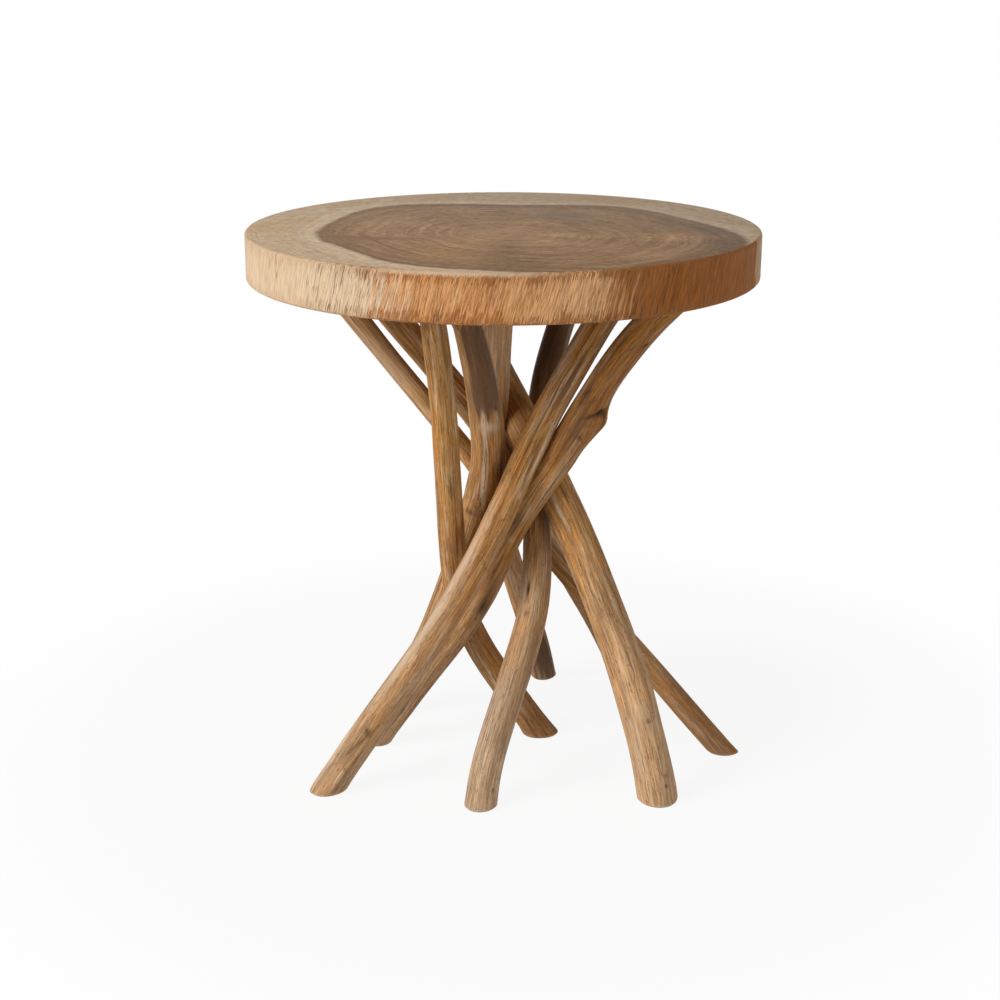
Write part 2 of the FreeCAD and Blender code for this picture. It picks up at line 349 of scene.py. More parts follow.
class StageSettings(bpy.types.PropertyGroup):
    """Floor and light"""

    floor: colour("Floor", "Colour of the floor", (0.80, 0.80, 0.80))
    glow: FloatProperty(
        name="Glow", description="Share of plain white in the floor that the camera sees",
        subtype="FACTOR", min=0.0, max=1.0, default=0.90,
    )
    ambient: FloatProperty(
        name="Ambient", description="Strength of the light all round", min=0.0, default=0.28,
    )
    key: power("Key", "Power of the main light", 166.0)
    fill: power("Fill", "Power of the fill light", 10.0)


def new_object(name, data=None):
    """New object, linked to the scene."""
    made = bpy.data.objects.new(name, data)
    bpy.context.scene.collection.objects.link(made)
    return made


def deselect():
    """Leave no object selected."""
    bpy.ops.object.select_all(action="DESELECT")


def make_active(piece):
    """Select one object alone."""
    deselect()
    piece.select_set(True)
    bpy.context.view_layer.objects.active = piece


def edit(piece, select="SELECT"):
    """Open a piece in edit mode with all of it, or none of it, selected."""
    make_active(piece)
    bpy.ops.object.mode_set(mode="EDIT")
    bpy.ops.mesh.select_all(action=select)


def leave_edit():
    """Back to object mode."""
    bpy.ops.object.mode_set(mode="OBJECT")


def merge(piece):
    """Make one point of the points of a piece that lie together."""
    edit(piece)
    bpy.ops.mesh.remove_doubles(threshold=FLAT)
    leave_edit()


def select_edges(piece, wanted):
    """Select the edges of a piece whose rise passes a test."""
    edit(piece, "DESELECT")
    bpy.ops.mesh.select_mode(type="EDGE")
    leave_edit()
    vertices = piece.data.vertices
    for edge in piece.data.edges:
        first, second = (vertices[index].co.z for index in edge.vertices)
        edge.select = wanted(abs(first - second))
    bpy.ops.object.mode_set(mode="EDIT")


def apply_modifier(piece, kind, **settings):
    """Add a modifier to a piece and apply it."""
    modifier = piece.modifiers.new(kind.title(), kind)
    for name, value in settings.items():
        setattr(modifier, name, value)
    make_active(piece)
    bpy.ops.object.modifier_apply(modifier=modifier.name)


def rows_of(data, name):
    """Vectors of some mesh data, one row each."""
    flat = np.zeros(len(data) * 3, np.float32)
    data.foreach_get(name, flat)
    return flat.reshape(-1, 3)


def points_of(piece):
    """Places of a piece's vertices."""
    return rows_of(piece.data.vertices, "co")


def grain_of(piece):
    """Places of a piece's vertices in the straight wood."""
    return rows_of(piece.data.attributes["grain"].data, "vector")


def keep_grain(piece, start=0.0):
    """Store the places of the vertices as the grain that the wood's pattern follows."""
    grain = points_of(piece) + np.array((0.0, 0.0, start), np.float32)
    attribute = piece.data.attributes.new("grain", "FLOAT_VECTOR", "POINT")
    attribute.data.foreach_set("vector", grain.ravel())


def roughen(piece, grain_size, depth, group):
    """Cut clouds, of a size across and along the grain, into the surface of a vertex group."""
    across, along = grain_size
    place = new_object("cloud_place")
    place.scale = (across, across, along)
    bpy.context.view_layer.update()
    clouds = bpy.data.textures.new("clouds", "CLOUDS")
    clouds.noise_scale = 1.0
    clouds.noise_depth = 2
    apply_modifier(
        piece, "DISPLACE", texture=clouds, texture_coords="OBJECT", texture_coords_object=place,
        strength=depth, mid_level=1.0, vertex_group=group,
    )
    bpy.data.objects.remove(place)
    bpy.data.textures.remove(clouds)


def dress(piece, node):
    """Put a finished piece in the place of a node."""
    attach(piece, "root")
    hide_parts(node)


def photo_ray(pixel):
    """Direction from the camera through a pixel of the photograph."""
    right, down = (Vector(pixel) - CENTRE_PIXEL) / FOCAL_PIXELS
    ahead = Vector((0.0, math.cos(CAMERA_PITCH), -math.sin(CAMERA_PITCH)))
    up = Vector((0.0, math.sin(CAMERA_PITCH), math.cos(CAMERA_PITCH)))
    return (ahead + Vector((right, 0.0, 0.0)) - up * down).normalized()


class Nodes:
    """Node tree of one finish, with short calls for the nodes that it uses."""

    def __init__(self, tree):
        self.tree = tree
        tree.nodes.clear()

    def add(self, kind, inputs=None, **settings):
        node = self.tree.nodes.new("ShaderNode" + kind)
        for name, value in settings.items():
            setattr(node, name, value)
        for key, value in (inputs or {}).items():
            if isinstance(value, bpy.types.NodeSocket):
                self.tree.links.new(value, node.inputs[key])
            else:
                node.inputs[key].default_value = value
        return node

    def place(self):
        """Object coordinates."""
        return self.add("TexCoord").outputs["Object"]

    def math(self, operation, first, second=0.0):
        return self.add("Math", {0: first, 1: second}, operation=operation).outputs[0]

    def vector(self, operation, first, second=(0.0, 0.0, 0.0)):
        return self.add("VectorMath", {0: first, 1: second}, operation=operation).outputs

    def size(self, vector):
        """Length of a vector."""
        return self.vector("LENGTH", vector)["Value"]

    def scaled(self, coordinates, sizes, place=(0.0, 0.0)):
        """Coordinates in units of the given sizes, in metres."""
        scale = tuple(1.0 / size for size in sizes)
        inputs = {"Vector": coordinates, "Scale": scale, "Location": (*place, 0.0)}
        return self.add("Mapping", inputs).outputs[0]

    def noise(self, coordinates, detail, roughness=0.55, distortion=0.0):
        inputs = {
            "Vector": coordinates, "Scale": 1.0, "Detail": detail,
            "Roughness": roughness, "Distortion": distortion,
        }
        return self.add("TexNoise", inputs).outputs[0]

    def figure(self, grain, across, along, *look, place=(0.0, 0.0)):
        """Noise of a size across and along the grain."""
        return self.noise(self.scaled(grain, (across, across, along), place), *look)

    def ramp(self, value, low, high, to_low=0.0, to_high=1.0):
        """Smooth step of a value from one range to another."""
        names = ("Value", "From Min", "From Max", "To Min", "To Max")
        inputs = dict(zip(names, (value, low, high, to_low, to_high)))
        return self.add("MapRange", inputs, interpolation_type="SMOOTHSTEP").outputs[0]

    def mix(self, share, first, second, blend="MIX"):
        """Mix of two colours."""
        inputs = {0: share, 6: first, 7: second}
        for index in (6, 7):
            if not isinstance(inputs[index], bpy.types.NodeSocket):
                inputs[index] = (*inputs[index], 1.0)
        return self.add("Mix", inputs, data_type="RGBA", blend_type=blend).outputs[2]

    def layers(self, wood, *coats):
        """A colour under coats of others, each with its share and the factors of that share."""
        for share, coat, *factors in coats:
            wood = self.mix(self.product(share, *factors), wood, coat)
        return wood

    def shaded(self, wood, light, share=1.0):
        """A colour times a lightness."""
        grey = self.add("CombineColor", {0: light, 1: light, 2: light}).outputs[0]
        return self.mix(share, wood, grey, "MULTIPLY")

    def product(self, *values):
        """All the values multiplied together."""
        result = values[0]
        for value in values[1:]:
            result = self.math("MULTIPLY", result, value)
        return result

    def near(self, value, middle, reach):
        """1 where a value is at its middle, falling to 0 at its reach."""
        away = self.math("ABSOLUTE", self.math("SUBTRACT", value, middle))
        return self.ramp(away, 0.0, reach, 1.0, 0.0)

    def frayed(self, value, figure, reach):
        """A value that a figure of noise moves to both sides."""
        return self.math("ADD", value, self.ramp(figure, 0.3, 0.7, -reach, reach))

    def parts(self, vector):
        """X, Y and Z of a vector."""
        return self.add("SeparateXYZ", {0: vector}).outputs

    def attribute(self, name):
        return self.add("Attribute", attribute_name=name).outputs

    def finish(self, wood, roughness, height, depth, **sockets):
        """Surface with a colour, a roughness and a relief."""
        bump = self.add("Bump", {"Height": height, "Distance": depth, "Strength": 1.0})
        inputs = {"Base Color": wood, "Roughness": roughness, "Normal": bump.outputs[0]}
        surface = self.add("BsdfPrincipled", {**inputs, **sockets})
        self.add("OutputMaterial", {"Surface": surface.outputs[0]})


def seen_white(nodes):
    """1 for rays from the camera and for those that glossy and clear surfaces send on."""
    path = nodes.add("LightPath").outputs
    clear = nodes.math("MAXIMUM", path["Is Glossy Ray"], path["Is Transmission Ray"])
    return nodes.math("MAXIMUM", path["Is Camera Ray"], clear)


def new_material(name):
    """Material and the node tree of its finish."""
    material = bpy.data.materials.new(name)
    material.use_nodes = True
    return material, Nodes(material.node_tree)


def branch_wood(name, settings, tone):
    """Sanded teak with streaks along the grain, for one branch, with painted light, shade and
    highlights.
    """
    material, nodes = new_material(name + "_wood")
    figure, product, ramp = nodes.figure, nodes.product, nodes.ramp
    grain = nodes.attribute("grain")["Vector"]
    marks = nodes.attribute("marks")
    # The marks' tints hold real flaws, painted shade and painted highlights
    warm_marks = marks["Alpha"]
    dark_marks, pale_marks, bark_marks = nodes.add("SeparateColor", {0: marks["Color"]}).outputs[:3]
    height = nodes.parts(nodes.place())[2]
    zones = figure(grain, 0.015, 0.16, 3.0)
    flows = figure(grain, 0.0055, 0.14, 4.0, 0.55, 0.2)
    glow = figure(grain, 0.007, 0.12, 4.0, 0.55, 0.2, place=(7.0, 3.0))
    weather = figure(grain, 0.020, 0.10, 4.0, place=(2.0, 9.0))
    lines = figure(grain, 0.0018, 0.06, 3.0, 0.55, 0.1, place=(4.0, 1.0))
    crowd = figure(grain, 0.012, 0.09, 2.0, place=(1.0, 6.0))
    fibre = figure(grain, 0.0010, 0.030, 4.0, 0.68)
    pores = figure(grain, 0.0011, 0.008, 2.0, place=(0.0, 8.0))
    mottle = figure(grain, 0.005, 0.040, 5.0, 0.62, 0.3, place=(5.0, 2.0))
    flakes = figure(grain, 0.008, 0.060, 3.0, 0.55, 0.4, place=(3.0, 7.0))

    line = product(ramp(lines, 0.58, 0.66), ramp(crowd, 0.42, 0.60))
    wood = nodes.layers(
        settings.honey,
        (ramp(zones, 0.50, 0.72, 0.0, 0.85), settings.pale),
        (ramp(mottle, 0.50, 0.66, 0.0, 0.45), settings.pale),
        (ramp(mottle, 0.34, 0.48, 0.45, 0.0), settings.warm),
        (ramp(flakes, 0.555, 0.570), settings.orange, tone.orange, 0.75),
        (nodes.near(flakes, 0.556, 0.010), settings.brown, ramp(crowd, 0.45, 0.60), 0.8),
        (ramp(weather, 0.48, 0.62), settings.grey, tone.grey),
        (ramp(glow, 0.50, 0.64), settings.orange, tone.orange),
        (ramp(flows, 0.52, 0.66), settings.brown, tone.brown),
        (line, settings.brown, 0.75),
        (warm_marks, settings.warm, ramp(weather, 0.35, 0.6, 0.6, 1.0)),
        # Painted light: the wood turns paler towards the floor over the lowest 0.30 m, as if lit from
        # below
        (ramp(height, 0.0, 0.30, tone.bleach, 0.0), settings.pale),
    )
    light = ramp(fibre, 0.32, 0.68, 0.66 * tone.brightness, 1.38 * tone.brightness)
    pits = ramp(pores, 0.63, 0.70)
    torn = ramp(nodes.frayed(bark_marks, flows, 0.25), 0.25, 0.75)
    arris = settings.foot_arris
    wood = nodes.layers(
        nodes.shaded(wood, light),
        (pits, settings.brown, 0.6),
        (torn, settings.bark, ramp(fibre, 0.3, 0.7, 0.7, 1.0)),
        (pale_marks, settings.pale),
        (dark_marks, settings.dark),
        (ramp(height, arris, 2.2 * arris, 0.5, 0.0), settings.pale),
        # Painted shade: the bark colour darkens the chamfer at the foot, where the floor's shadow
        # falls
        (ramp(height, 0.5 * arris, 0.9 * arris, 0.7, 0.0), settings.bark),
    )

    relief = nodes.math("SUBTRACT", fibre, nodes.math("MAXIMUM", line, pits))
    relief = nodes.math("SUBTRACT", relief, ramp(flakes, 0.550, 0.565))
    nodes.finish(wood, ramp(fibre, 0.2, 0.8, 0.68, 0.50), relief, BRANCH_RELIEF, **SANDED)
    return material


def top_place(pixel):
    """Place on the top of the slab that shows at a pixel of the photograph."""
    ray = photo_ray(pixel)
    return (CAMERA_PLACE + ray * ((SLAB_HIGH.z - CAMERA_PLACE.z) / ray.z)).xy


def heart_waves():
    """Mean reach of the heartwood from the pith, and the waves of it round the pith."""
    places = [*map(top_place, HEART_EDGE), *map(Vector, HEART_BEYOND)]
    spokes = np.array([place - PITH for place in places])
    bearings = np.arctan2(spokes[:, 1], spokes[:, 0])
    turns = [turn(wave * bearings) for wave in range(1, HEART_WAVES + 1) for turn in (np.cos, np.sin)]
    columns = np.column_stack([np.ones(len(places)), *turns])
    sizes = np.linalg.lstsq(columns, np.linalg.norm(spokes, axis=1), rcond=None)[0]
    return sizes[0], sizes[1:].reshape(-1, 2)


def heart_share(nodes, flat, spoke, bearing):
    """Share of the way from the pith to the edge of the heartwood, on rings that wander."""
    reach, waves = heart_waves()
    for wave, sizes in enumerate(waves, 1):
        for turn, size in zip(("COSINE", "SINE"), sizes):
            swing = nodes.math(turn, nodes.product(bearing, float(wave)))
            reach = nodes.math("ADD", reach, nodes.product(swing, float(size)))
    share = nodes.math("DIVIDE", nodes.size(spoke), reach)
    bend = nodes.ramp(nodes.figure(flat, 0.05, 1.0, 2.0), 0.2, 0.8, -0.012, 0.012)
    ripple = nodes.ramp(nodes.figure(flat, 0.018, 1.0, 2.0), 0.2, 0.8, -0.005, 0.005)
    return nodes.math("ADD", share, nodes.math("ADD", bend, ripple))


def slab_end_grain(settings):
    """Cross-cut face: pale sapwood round a brown heart, with growth rings and checks."""
    material, nodes = new_material("slab_end_grain")
    figure, product, ramp = nodes.figure, nodes.product, nodes.ramp
    place = nodes.place()
    flat = nodes.vector("MULTIPLY", place, (1.0, 1.0, 0.0))[0]
    spoke = nodes.vector("SUBTRACT", flat, (*PITH, 0.0))[0]
    right, back = nodes.parts(spoke)[:2]
    bearing = nodes.math("ARCTAN2", back, right)
    share = heart_share(nodes, flat, spoke, bearing)
    drift = [product(value, RING_DRIFT) for value in (right, back)]
    around = nodes.add("CombineXYZ", {0: product(share, RINGS), 1: drift[0], 2: drift[1]}).outputs[0]
    bands = nodes.noise(around, 4.0, 0.65)
    fine_bands = nodes.noise(nodes.vector("MULTIPLY", around, FINE_RINGS)[0], 3.0, 0.6)
    clouds = nodes.noise(nodes.scaled(place, (0.09, 0.06, 1.0)), 4.0, 0.6, 0.5)
    fleck = nodes.noise(nodes.scaled(place, (0.006, 0.005, 1.0)), 4.0, 0.6)
    pores = figure(place, 0.0016, 1.0, 2.0)

    sap = nodes.layers(
        settings.sapwood,
        (ramp(clouds, 0.44, 0.66), settings.sap_stain),
        (ramp(share, 1.02, 1.16, 0.8, 0.0), settings.sap_halo),
    )
    heart = nodes.layers(
        settings.heartwood,
        (ramp(bands, 0.34, 0.70), settings.heart_light),
        (ramp(share, 0.05, 0.40, 0.8, 0.0), settings.heart_light),
        (ramp(clouds, 0.52, 0.70, 0.0, 0.45), settings.heart_edge),
        (ramp(share, 0.74, 0.94), settings.heart_edge, ramp(bands, 0.25, 0.7, 0.85, 0.35)),
        (nodes.near(share, 0.98, 0.04), settings.heart_edge, 0.6),
    )
    patches = ramp(fleck, 0.3, 0.7, 0.4, 1.0)
    for spot, reach, strength in SMUDGES:
        away = nodes.vector("DISTANCE", place, (*spot, SLAB_HIGH.z))["Value"]
        smudge = ramp(away, 0.0, reach, 1.0, 0.0)
        heart = nodes.layers(heart, (smudge, settings.smudge, patches, strength))
    wood = nodes.mix(ramp(share, 0.975, 1.02), heart, sap)
    light = product(ramp(fine_bands, 0.3, 0.7, 0.88, 1.12), ramp(fleck, 0.3, 0.7, 0.84, 1.14))
    inside = product(ramp(share, 0.06, 0.22), ramp(share, 0.75, 0.95, 1.0, 0.0))
    frayed = nodes.frayed(bearing, bands, 0.10)
    for middle, reach, lightness in WEDGES:
        wedge = product(nodes.near(frayed, math.radians(middle), math.radians(reach)), inside)
        light = product(light, ramp(wedge, 0.0, 1.0, 1.0, lightness))
    shake = product(
        nodes.near(share, *SHAKE), ramp(right, *SHAKE_RIGHT, 1.0, 0.0),
        ramp(back, *SHAKE_BACK, 1.0, 0.0),
    )
    ray = product(
        nodes.near(back, ramp(right, *RAY_RUN), RAY_WIDTH),
        ramp(right, *RAY_FADE, 0.85, 0.0), ramp(share, 0.95, 1.0, 1.0, 0.0),
    )
    pits = ramp(pores, 0.62, 0.72)
    wood = nodes.layers(
        nodes.shaded(wood, light),
        (nodes.math("MAXIMUM", shake, ray), settings.heart_edge, 0.9),
        (ramp(nodes.size(spoke), 0.001, 0.008, 0.6, 0.0), settings.rim_brown),
        (pits, settings.heart_edge, 0.3),
    )

    relief = nodes.math("SUBTRACT", product(fine_bands, 0.4), nodes.math("MAXIMUM", pits, shake))
    nodes.finish(wood, ramp(fleck, 0.2, 0.8, 0.72, 0.56), relief, END_GRAIN_RELIEF, **SANDED)
    return material


def slab_rim_wood(settings):
    """Rim of the slab: slanted side grain, cream to orange to brown as the heart comes near, and a
    painted highlight along the top arris.
    """
    material, nodes = new_material("slab_rim_wood")
    figure, product, ramp = nodes.figure, nodes.product, nodes.ramp
    grain = nodes.attribute("grain")["Vector"]
    right, back, height = nodes.parts(nodes.place())
    streaks = figure(grain, 0.006, 0.10, 4.0, 0.6)
    fibre = figure(grain, 0.0011, 0.020, 3.0, 0.65)
    dashes = figure(grain, 0.0011, 0.011, 3.0, 0.65, place=(3.0, 0.0))
    gaps = figure(grain, 0.0014, 0.016, 2.0, place=(0.0, 5.0))
    stains = figure(grain, 0.014, 0.03, 4.0, 0.65)
    crowd = figure(grain, 0.035, 0.09, 2.0, place=(8.0, 2.0))

    wander = nodes.frayed(right, streaks, 0.02)
    frayed = nodes.frayed(back, streaks, 0.005)
    front = ramp(back, *RIM_FRONT, 1.0, 0.0)
    edge = nodes.math("ABSOLUTE", nodes.math("SUBTRACT", height, SLAB_MIDDLE))
    edge = ramp(edge, 0.12 * SLAB_THICKNESS, 0.44 * SLAB_THICKNESS)
    heart_side = ramp(wander, *RIM_HEART)
    heart = product(heart_side, ramp(frayed, HEART_END - 0.004, HEART_END, 1.0, 0.0))
    tanned = product(heart_side, ramp(frayed, HEART_END, HEART_END + 0.040, 0.55, 0.0))
    stained = product(ramp(wander, *RIM_STAINED), front)
    bare = product(ramp(stains, 0.34, 0.56, 0.65, 0.0), ramp(edge, 0.3, 0.9, 1.0, 0.0))
    bare = nodes.math("MAXIMUM", bare, ramp(right, *RIM_BARE))
    warmth = nodes.math("MAXIMUM", product(ramp(wander, *RIM_WARM), front), heart)
    fringe = nodes.frayed(nodes.frayed(edge, dashes, 0.6), stains, 0.5)
    wood = nodes.layers(
        settings.rim_cream,
        (stained, nodes.mix(bare, settings.rim_orange, settings.rim_peach)),
        (tanned, settings.rim_orange),
        (heart, nodes.mix(ramp(streaks, 0.35, 0.65), settings.rim_brown, settings.rim_stain)),
        (ramp(fringe, 0.45, 0.95), settings.rim_stain, ramp(warmth, 0.0, 1.0, 0.22, 0.85)),
    )
    light = ramp(fibre, 0.33, 0.67, 0.68, 1.30)
    dash = product(ramp(dashes, 0.54, 0.66), ramp(warmth, 0.0, 1.0, 0.18, 0.6))
    fair = product(ramp(dashes, 0.34, 0.46, 0.4, 0.0), ramp(heart, 0.0, 1.0, 1.0, 0.15))
    cracked = product(nodes.near(right, *RIM_CRACKS), front)
    cracked = nodes.math("MAXIMUM", ramp(crowd, 0.50, 0.62), cracked)
    check = product(ramp(gaps, 0.56, 0.66), cracked)
    arris = settings.arris
    # Painted highlight: a pale strip in the sapwood halo colour along the top arris, strongest on the
    # front
    arris_highlight = nodes.math("ADD", height, ramp(dashes, 0.35, 0.65, -0.5 * arris, 0.5 * arris))
    arris_highlight = ramp(arris_highlight, SLAB_HIGH.z - 1.4 * arris, SLAB_HIGH.z - 0.6 * arris, 0.0, 0.8)
    wood = nodes.layers(
        nodes.shaded(wood, light, ramp(warmth, 0.0, 1.0, 0.55, 1.0)),
        (dash, settings.rim_stain),
        (fair, nodes.mix(stained, settings.rim_cream, settings.rim_peach)),
        (check, settings.check, 0.7),
        (arris_highlight, settings.sap_halo, stained, ramp(wander, *RIM_ARRIS_HIGHLIGHT, 1.0, 0.0)),
    )

    relief = nodes.math("SUBTRACT", fibre, nodes.math("MAXIMUM", dash, check))
    nodes.finish(wood, ramp(fibre, 0.2, 0.8, 0.76, 0.62), relief, RIM_RELIEF, **SANDED)
    return material


def plug_wood(settings):
    """Plugs cut from the same wood as the branches, with their grain upright."""
    material, nodes = new_material("plug_wood")
    place = nodes.place()
    flows = nodes.figure(place, 0.004, 0.06, 4.0)
    fibre = nodes.figure(place, 0.0009, 0.02, 3.0)
    wood = nodes.mix(nodes.ramp(flows, 0.40, 0.66, 0.0, 0.6), settings.honey, settings.brown)
    wood = nodes.shaded(wood, nodes.ramp(fibre, 0.3, 0.7, 0.85, 1.15))
    nodes.finish(wood, nodes.ramp(fibre, 0.2, 0.8, 0.74, 0.58), fibre, PLUG_RELIEF, **SANDED)
    return material


def screw_steel():
    """Zinc-plated steel with a fine turned grain."""
    material, nodes = new_material("screw_steel")
    place = nodes.place()
    film = nodes.figure(place, 0.004, 0.004, 3.0)
    turning = nodes.figure(place, 0.0004, 0.0004, 2.0)
    steel = nodes.mix(nodes.ramp(film, 0.3, 0.7), ZINC, DULL_ZINC)
    nodes.finish(steel, nodes.ramp(film, 0.2, 0.8, 0.42, 0.28), turning, STEEL_RELIEF, Metallic=1.0)
    return material


def node_lines(node):
    """Ends of every edge of a node's surface."""
    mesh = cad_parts[node].data
    ends = np.zeros(len(mesh.edges) * 2, np.int32)
    mesh.edges.foreach_get("vertices", ends)
    return points_of(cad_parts[node])[ends.reshape(-1, 2)]


def heart_stations(node):
    """Places along the heart of a branch and its radius at each, from level cuts of its node."""
    lines = node_lines(node)
    low, high = lines[:, 0], lines[:, 1]
    hearts, outlines = [], []
    for level in np.linspace(END_LEVEL, 1.0 - END_LEVEL, HEART_STATIONS):
        height = level * LEG_HEIGHT
        cut = (low[:, 2] - height) * (high[:, 2] - height) < 0.0
        share = (height - low[cut, 2]) / (high[cut, 2] - low[cut, 2])
        outline = low[cut] + (high[cut] - low[cut]) * share[:, None]
        hearts.append(0.5 * (outline.min(axis=0) + outline.max(axis=0)))
        outlines.append(outline)
    hearts = np.array(hearts)
    inner = 0.25 * hearts[:-2] + 0.5 * hearts[1:-1] + 0.25 * hearts[2:]
    hearts = np.vstack((hearts[:1], inner, hearts[-1:]))
    along = np.gradient(hearts, axis=0)
    along /= np.linalg.norm(along, axis=1)[:, None]
    radii = []
    for heart, grain, outline in zip(hearts, along, outlines):
        spokes = outline - heart
        spokes -= np.outer(spokes @ grain, grain)
        spans = np.linalg.norm(spokes, axis=1)
        radii.append(np.median(spans[spans > 0.5 * spans.max()]))
    hearts = np.vstack((hearts[0] - along[0] * END_SPARE, hearts, hearts[-1] + along[-1] * END_SPARE))
    return hearts, [radii[0], *radii, radii[-1]]


def heart_path(node):
    """Smooth curve along the heart of a branch, whose point radius swells and thins the pole."""
    hearts, radii = heart_stations(node)
    curve = bpy.data.curves.new(node + "_heart", "CURVE")
    curve.dimensions = "3D"
    curve.twist_mode = "MINIMUM"
    curve.use_radius = True
    spline = curve.splines.new("NURBS")
    spline.points.add(len(hearts) - 1)
    for point, heart, radius in zip(spline.points, hearts, radii):
        point.co = (*heart, 1.0)
        point.radius = OVERSIZE * radius / POLE_RADIUS
    spline.order_u = 4
    spline.use_endpoint_u = True
    return new_object(curve.name, curve), radii[0]


def straight_pole():
    """Round pole on +Z, modelled once and copied for every branch."""
    deselect()
    bpy.ops.mesh.primitive_circle_add(vertices=POLE_SIDES, radius=POLE_RADIUS)
    pole = bpy.context.object
    edit(pole)
    bpy.ops.mesh.extrude_repeat(steps=POLE_EXTRUSIONS, offset=(0.0, 0.0, POLE_STEP))
    leave_edit()
    select_edges(pole, lambda rise: rise > 0.5 * POLE_STEP)
    bpy.ops.mesh.subdivide(number_cuts=ROWS_PER_EXTRUSION - 1)
    bpy.ops.mesh.select_all(action="SELECT")
    bpy.ops.mesh.normals_make_consistent(inside=False)
    leave_edit()
    return pole


def saw_end(piece, level, end, share):
    """Cut a branch level, short of its end, and draw the cut in to the end."""
    edit(piece)
    bpy.ops.mesh.bisect(
        plane_co=(0.0, 0.0, level), plane_no=(0.0, 0.0, 1.0), use_fill=True,
        clear_inner=level > end, clear_outer=level < end,
    )
    bpy.ops.mesh.select_mode(type="FACE")
    bpy.ops.mesh.select_all(action="DESELECT")
    leave_edit()
    level_faces = [face for face in piece.data.polygons if abs(face.center.z - level) < FLAT]
    cut = max(level_faces, key=lambda face: len(face.vertices))
    cut.select = True
    middle = Vector((*cut.center.xy, end))
    bpy.ops.object.mode_set(mode="EDIT")
    bpy.ops.mesh.extrude_region_move(TRANSFORM_OT_translate={"value": (0.0, 0.0, end - level)})
    bpy.ops.transform.resize(value=(share, share, 0.0), center_override=middle)
    leave_edit()


def copy_nodes(names):
    """Copy of some nodes, joined into one mesh."""
    deselect()
    for node in names:
        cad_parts[node].select_set(True)
    bpy.context.view_layer.objects.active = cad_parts[names[0]]
    bpy.ops.object.duplicate()
    if len(names) > 1:
        bpy.ops.object.join()
    copy = bpy.context.object
    merge(copy)
    return copy


def plugs_by_branch():
    """Copies of the plugs, by the branch that each is set in."""
    edit(copy_nodes(PLUG_NODES))
    bpy.ops.mesh.separate(type="LOOSE")
    leave_edit()
    surfaces = {node: surface_of(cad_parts[node]) for node in TONES}
    plugs = {node: [] for node in TONES}
    for plug in bpy.context.selected_objects:
        middle = Vector(points_of(plug).mean(axis=0))
        owner = min(surfaces, key=lambda node: surfaces[node].find_nearest(middle)[3])
        plugs[owner].append(plug)
    return plugs


def whole_form(node, plugs):
    """Copy of a branch's node with its bores closed by their plugs."""
    form = copy_nodes([node])
    make_active(form)
    for plug in plugs:
        plug.select_set(True)
    bpy.ops.object.join()
    merge(form)
    return form


def cloud_relief(grain, cloud):
    """Soft noise from about -1 to 1, stretched along the grain."""
    sizes = np.array((cloud.across, cloud.across, cloud.along))
    places = (grain + cloud.shift) / sizes
    return np.array([noise.fractal(Vector(place), 1.0, 2.0, cloud.octaves) for place in places])


def fade(values, low, high):
    """Smooth step from 0 at low to 1 at high."""
    share = np.clip((values - low) / (high - low), 0.0, 1.0)
    return share * share * (3.0 - 2.0 * share)


def plug_distance(places):
    """Distance from each place to the nearest plug."""
    plugs = np.vstack([points_of(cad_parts[node]) for node in PLUG_NODES])
    tree = KDTree(len(plugs))
    for index, place in enumerate(plugs):
        tree.insert(place, index)
    tree.balance()
    return np.array([tree.find(place)[2] for place in places])


def surface_of(piece):
    """Search tree of a piece's faces."""
    faces = [face.vertices for face in piece.data.polygons]
    return BVHTree.FromPolygons([vertex.co for vertex in piece.data.vertices], faces)


def mark_weights(piece, grain, mark):
    """Weight of a mark on each vertex, from its pixel in the photograph."""
    face = surface_of(piece).ray_cast(CAMERA_PLACE, photo_ray(mark.pixel))[2]
    if face is None:
        raise RuntimeError(f"the mark at {mark.pixel} misses {piece.name}")
    middle = grain[list(piece.data.polygons[face].vertices)].mean(axis=0)
    turn = np.arctan2(grain[:, 1], grain[:, 0]) - math.atan2(middle[1], middle[0])
    around = POLE_RADIUS * (np.mod(turn + math.pi, 2.0 * math.pi) - math.pi)
    along = grain[:, 2] - middle[2]
    around = around - mark.lean * along
    return np.exp(-(along / (MM * mark.along)) ** 2 - (around / (MM * mark.across)) ** 2)


def set_group(piece, name, weights):
    """Vertex group from weights."""
    group = piece.vertex_groups.new(name=name)
    for index in np.flatnonzero(weights > LEAST_WEIGHT):
        group.add([int(index)], float(weights[index]), "REPLACE")


def carve(piece, settings, marks):
    """Flutes, lumps, ridges and marks on a branch, and the tints of its marks."""
    places, grain = points_of(piece), grain_of(piece)
    depths = {FLUTES: settings.flute_depth, LUMPS: settings.lump_depth, RIDGES: settings.ridge_depth}
    relief = sum(depth * cloud_relief(grain, cloud) for cloud, depth in depths.items())
    relief *= fade(plug_distance(places), *PLUG_CLEAR)
    relief -= PLUG_PROUD
    tints = np.zeros((len(places), len(MARK_TINTS)), np.float32)
    for mark in marks:
        weights = mark_weights(piece, grain, mark)
        relief += MM * mark.height * weights
        tints[:, MARK_TINTS.index(mark.tint)] += mark.strength * weights
    height = np.minimum(places[:, 2], LEG_HEIGHT - places[:, 2])
    relief *= fade(height, *END_CLEAR) / RELIEF_SCALE
    colours = piece.data.attributes.new("marks", "FLOAT_COLOR", "POINT")
    colours.data.foreach_set("color", np.clip(tints, 0.0, 1.0).ravel())
    for name, sign in (("swells", 1.0), ("hollows", -1.0)):
        set_group(piece, name, sign * relief)
        depth = sign * RELIEF_SCALE
        apply_modifier(piece, "DISPLACE", strength=depth, mid_level=0.0, vertex_group=name)


